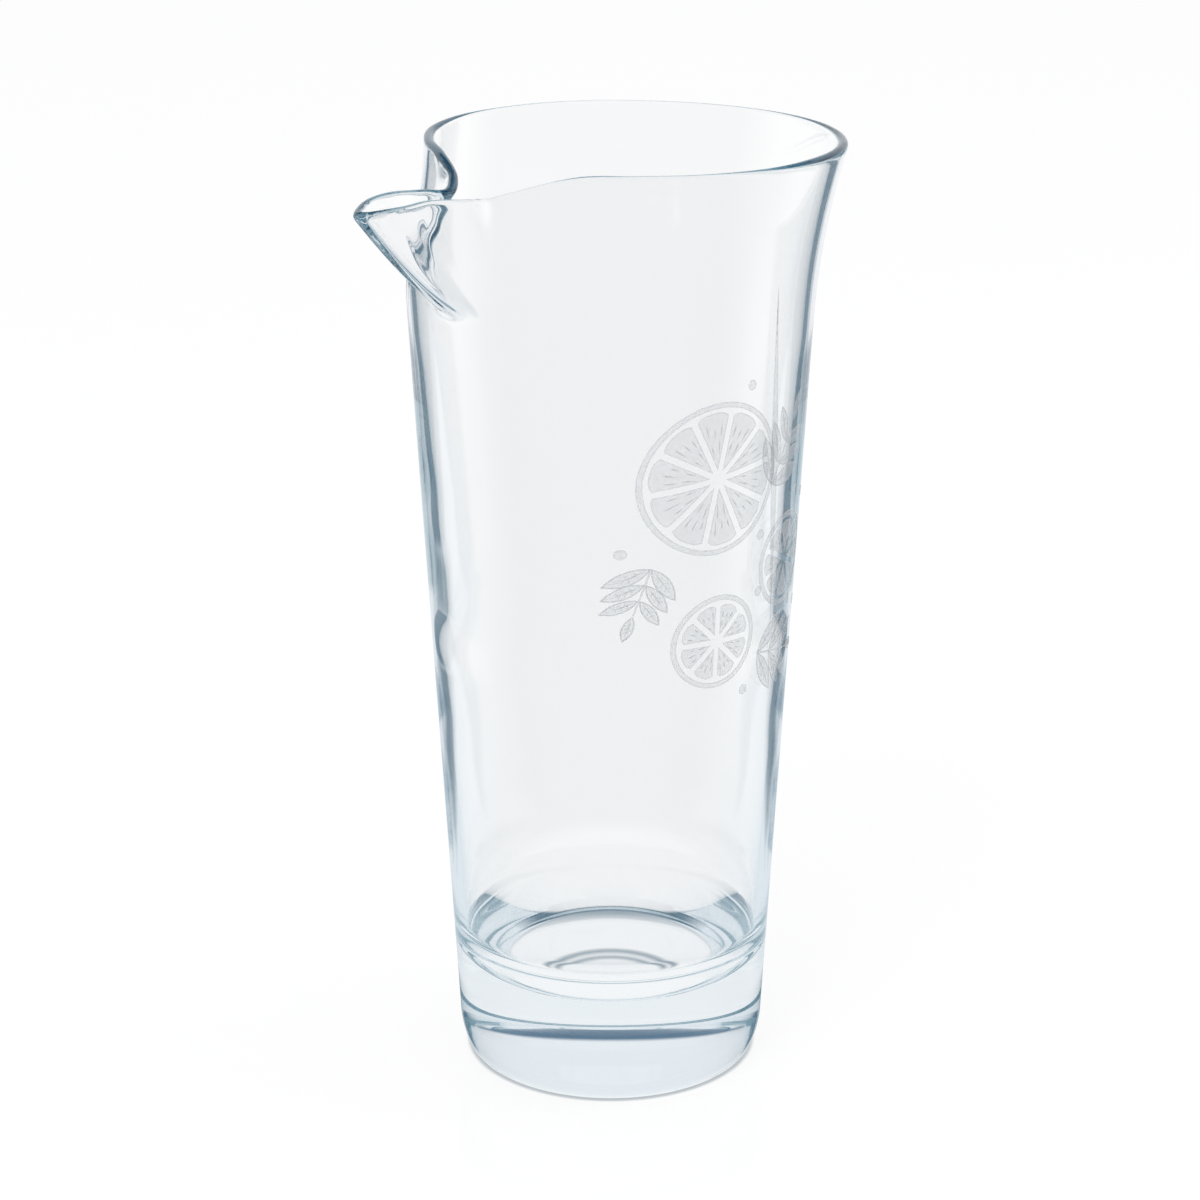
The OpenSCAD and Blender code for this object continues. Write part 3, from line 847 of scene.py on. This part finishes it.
def floor_light(tree, ray, colours):
    """What the glass shows of the floor, much of it painted shade and painted reflection. Light that comes straight
    through it is bright paper with painted shade: a dark line where the foot stands, dark rings round the hollow on
    the far side and dark zones at the sides. Light that was mirrored is a painted reflection: the dim room on the
    camera's side, paper painted dusky near the pitcher and hazy further off, and painted dark cards at four corners
    beyond the pitcher."""
    where = node(tree, "ShaderNodeTexCoord")
    split = node(tree, "ShaderNodeSeparateXYZ")
    link(tree, where.outputs["Object"], split.inputs[0])
    across, along = split.outputs["X"], split.outputs["Y"]
    compass = calculate(tree, "ADD", calculate(tree, "ARCTAN2", along, across), -BEYOND)
    corner = calculate(tree, "PINGPONG", compass, math.radians(45))
    away = calculate(tree, "SQRT", calculate(tree, "MULTIPLY_ADD", across, across,
                                             calculate(tree, "MULTIPLY", along, along)))
    bend = calculate(tree, "SUBTRACT", calculate(tree, "SINE", corner), calculate(tree, "DIVIDE", GLASS_R, away))
    near = calculate(tree, "DIVIDE", away, NEAR)
    beyond = beyond_side(tree, compass)
    beside = ramp(tree, calculate(tree, "ABSOLUTE", calculate(tree, "SINE", compass)), SIDE_TURN)
    # Painted shade: the paper that the glass sees is darkened round the foot, in rings round the hollow and at the
    # sides
    painted_contact_shade = ramp(tree, near, PAINTED_FOOT_SHADE)
    painted_contact_shade = calculate(tree, "MAXIMUM", painted_contact_shade, masked(tree, ramp(tree, near, PAINTED_HOLLOW_SHADE), beyond))
    painted_contact_shade = calculate(tree, "MAXIMUM", painted_contact_shade, masked(tree, ramp(tree, near, PAINTED_SIDE_SHADE), beside))
    through = pick(tree, painted_contact_shade, colours.paper, colours.shade)
    # Painted reflection: dark cards painted into the paper that mirrored rays see, at four corners beyond the pitcher
    painted_cards = masked(tree, ramp(tree, bend, NEAR_PAINTED_CARDS), ramp(tree, away, NEAR_PAINTED_CARDS_AWAY))
    painted_far_cards = masked(tree, ramp(tree, bend, FAR_PAINTED_CARDS), ramp(tree, away, FAR_PAINTED_CARDS_AWAY))
    painted_cards = calculate(tree, "MAXIMUM", painted_cards, painted_far_cards)
    # Painted shade: near the pitcher the mirrored paper is painted dusky, further off hazy
    hazy = pick(tree, painted_cards, pick(tree, ramp(tree, away, HAZE_AWAY), colours.painted_dusk, colours.haze), colours.shade)
    back = pick(tree, ramp(tree, near, UNDER_FOOT), pick(tree, beyond, colours.room, hazy), colours.paper)
    # The same painted shade darkens what mirrored rays see there
    back = pick(tree, painted_contact_shade, back, colours.shade)
    clear_of_foot = calculate(tree, "MAXIMUM", ramp(tree, near, CLEAR_OF_FOOT), beyond)
    return pick(tree, mirrored(tree, ray), through, led(tree, ray, back, colours, clear_of_foot))


def masked(tree, value, mask):
    return calculate(tree, "MULTIPLY", value, mask)


def beyond_side(tree, compass):
    """One beyond the pitcher, as the camera sees it, and nothing on the camera's side."""
    turn = calculate(tree, "MULTIPLY_ADD", calculate(tree, "COSINE", compass), 0.5, 0.5)
    return ramp(tree, turn, BEYOND_TURN)


def ramp(tree, value, stops):
    """Straight steps between stops, each a place from 0 to 1 and a grey."""
    n = node(tree, "ShaderNodeValToRGB")
    elements = n.color_ramp.elements
    while len(elements) < len(stops):
        elements.new(0.5)
    for element, (place, grey) in zip(elements, stops):
        element.position = place
    for element, (place, grey) in zip(n.color_ramp.elements, stops):
        element.color = (grey, grey, grey, 1)
    link(tree, value, n.inputs["Fac"])
    return n.outputs["Color"]


def mirrored(tree, ray):
    """One for a ray that was mirrored anywhere on its way."""
    return calculate(tree, "MINIMUM", ray.outputs["Glossy Depth"], 1)


def led(tree, ray, once, colours, hazy=1.0):
    """The colour once for a ray that was mirrored once, haze for a few times more where hazy is one, and deep for one
    that the glass led along its wall."""
    depth = calculate(tree, "DIVIDE", ray.outputs["Glossy Depth"], MANY)
    few = pick(tree, masked(tree, ramp(tree, depth, FEW_TIMES), hazy), once, colours.haze)
    return pick(tree, ramp(tree, depth, LED_TIMES), few, colours.deep)


def pick(tree, factor, a, b):
    """One of two colours, each a socket or a value."""
    mix = node(tree, "ShaderNodeMix", data_type="RGBA")
    link(tree, factor, mix.inputs["Factor"])
    for socket, value in ((mix.inputs["A"], a), (mix.inputs["B"], b)):
        if isinstance(value, bpy.types.NodeSocket):
            link(tree, value, socket)
        else:
            socket.default_value = (*value, 1)
    return mix.outputs["Result"]


class PITCHER_OT_stage(bpy.types.Operator):
    """Lay the pale floor, light the studio and set the camera"""
    bl_idname = "pitcher.stage"
    bl_label = "Stage"
    bl_options = {"REGISTER", "UNDO"}

    def execute(self, context):
        colours, view = context.scene.pitcher_colours, context.scene.pitcher_camera
        clear_selection()
        bpy.ops.mesh.primitive_plane_add(size=FLOOR_SIZE, location=(0, 0, FLOOR_Z))
        floor = new_piece("floor")
        floor.data.materials.append(floor_paper(colours))
        self.sky(context, colours)
        self.lamps()
        bpy.ops.object.camera_add()
        camera = context.object
        camera.name = "camera"
        camera.data.lens = view.lens
        camera.data.sensor_width = 36
        camera.data.shift_x = view.shift
        camera.data.clip_start, camera.data.clip_end = CLIP
        camera.location = (view.away * math.sin(view.azimuth), -view.away * math.cos(view.azimuth), view.high)
        camera.rotation_euler = (math.pi / 2 - view.pitch, 0, view.azimuth)
        context.scene.camera = camera
        context.scene.view_settings.view_transform = "Standard"
        context.scene.cycles.max_bounces = BOUNCES
        context.scene.cycles.transmission_bounces = BOUNCES
        context.scene.cycles.glossy_bounces = BOUNCES
        return {"FINISHED"}

    def sky(self, context, colours):
        world = bpy.data.worlds.new("studio")
        context.scene.world = world
        tree = nodes_of(world)
        ray = node(tree, "ShaderNodeLightPath")
        light = node(tree, "ShaderNodeBackground")
        where = node(tree, "ShaderNodeTexCoord")
        split = node(tree, "ShaderNodeSeparateXYZ")
        link(tree, where.outputs["Generated"], split.inputs[0])
        across, along, up = split.outputs
        beyond = calculate(tree, "ADD", calculate(tree, "MULTIPLY", across, math.cos(BEYOND) / 2),
                           calculate(tree, "MULTIPLY", along, math.sin(BEYOND) / 2))
        front = ramp(tree, calculate(tree, "ADD", beyond, 0.5), FRONT_TURN)
        dim = masked(tree, calculate(tree, "MAXIMUM", front, ramp(tree, up, HIGH_UP)), mirrored(tree, ray))
        back = pick(tree, mirrored(tree, ray), colours.paper, colours.haze)
        back = pick(tree, dim, back, colours.room)
        link(tree, led(tree, ray, back, colours), light.inputs["Color"])
        out = node(tree, "ShaderNodeOutputWorld")
        link(tree, light.outputs["Background"], out.inputs["Surface"])

    def lamps(self):
        for name, at, power, wide in LAMPS:
            bpy.ops.object.light_add(type="AREA", location=at)
            lamp = bpy.context.object
            lamp.name = name
            lamp.data.energy = power
            lamp.data.shape = "DISK"
            lamp.data.size = wide
            lamp.visible_glossy = False
            lamp.visible_transmission = False
            lamp.rotation_euler = (Vector(LAMP_AIM) - Vector(at)).to_track_quat("-Z", "Y").to_euler()


def floor_paper(colours):
    """Pale paper with a soft shadow and a faint sheen, which the glass sees as floor_light says."""
    material = bpy.data.materials.new("floor_paper")
    tree = nodes_of(material)
    out = node(tree, "ShaderNodeOutputMaterial")
    ray = node(tree, "ShaderNodeLightPath")
    glow = node(tree, "ShaderNodeEmission")
    seen = calculate(tree, "MAXIMUM", ray.outputs["Is Glossy Ray"], ray.outputs["Is Transmission Ray"])
    where = node(tree, "ShaderNodeTexCoord")
    middle = node(tree, "ShaderNodeVectorMath", operation="LENGTH")
    link(tree, where.outputs["Object"], middle.inputs[0])
    # Painted contact shadow: a thin dark ring on the paper round the foot, which only the camera sees
    seat = ramp(tree, calculate(tree, "DIVIDE", middle.outputs["Value"], NEAR), PAINTED_SEAT_SHADOW)
    seat = pick(tree, seat, colours.paper, colours.shade)
    link(tree, pick(tree, seen, seat, floor_light(tree, ray, colours)), glow.inputs["Color"])
    paper = node(tree, "ShaderNodeBsdfDiffuse")
    paper.inputs["Color"].default_value = PAPER_GREY
    both = node(tree, "ShaderNodeMixShader")
    bright = calculate(tree, "MAXIMUM", seen, masked(tree, ray.outputs["Is Camera Ray"], PAPER_GLOW))
    link(tree, bright, both.inputs["Fac"])
    link(tree, paper.outputs["BSDF"], both.inputs[1])
    link(tree, glow.outputs["Emission"], both.inputs[2])
    gloss = node(tree, "ShaderNodeBsdfGlossy")
    gloss.inputs["Roughness"].default_value = PAPER_POLISH
    sheen = node(tree, "ShaderNodeMixShader")
    link(tree, masked(tree, ray.outputs["Is Camera Ray"], PAPER_SHEEN), sheen.inputs["Fac"])
    link(tree, both.outputs["Shader"], sheen.inputs[1])
    link(tree, gloss.outputs["BSDF"], sheen.inputs[2])
    link(tree, sheen.outputs["Shader"], out.inputs["Surface"])
    return material


class PITCHER_PT_panel(bpy.types.Panel):
    """Sizes, colours and steps of the pitcher"""
    bl_idname = "PITCHER_PT_panel"
    bl_label = "Cocktail Pitcher"
    bl_space_type = "VIEW_3D"
    bl_region_type = "UI"
    bl_category = "Pitcher"

    def draw(self, context):
        scene = context.scene
        for group in (scene.pitcher_sizes, scene.pitcher_spout, scene.pitcher_ornament,
                      scene.pitcher_colours, scene.pitcher_camera):
            box = self.layout.box()
            for key in group.__annotations__:
                box.prop(group, key)
        for step in STEPS:
            self.layout.operator(step.bl_idname)


STEPS = (PITCHER_OT_glass, PITCHER_OT_ornament, PITCHER_OT_stage)
GROUPS = (PitcherSizes, SpoutSizes, OrnamentSizes, PitcherColours, PitcherCamera)
SCENE_PROPERTIES = dict(zip(
    ("pitcher_sizes", "pitcher_spout", "pitcher_ornament", "pitcher_colours", "pitcher_camera"), GROUPS))


def register():
    for item in (*GROUPS, *STEPS, PITCHER_PT_panel):
        bpy.utils.register_class(item)
    for name, group in SCENE_PROPERTIES.items():
        setattr(bpy.types.Scene, name, bpy.props.PointerProperty(type=group))


def unregister():
    for name in SCENE_PROPERTIES:
        delattr(bpy.types.Scene, name)
    for item in reversed((*GROUPS, *STEPS, PITCHER_PT_panel)):
        bpy.utils.unregister_class(item)


def main():
    register()
    bpy.ops.pitcher.glass()
    bpy.ops.pitcher.ornament()
    bpy.ops.pitcher.stage()


if __name__ == "__main__":
    main()
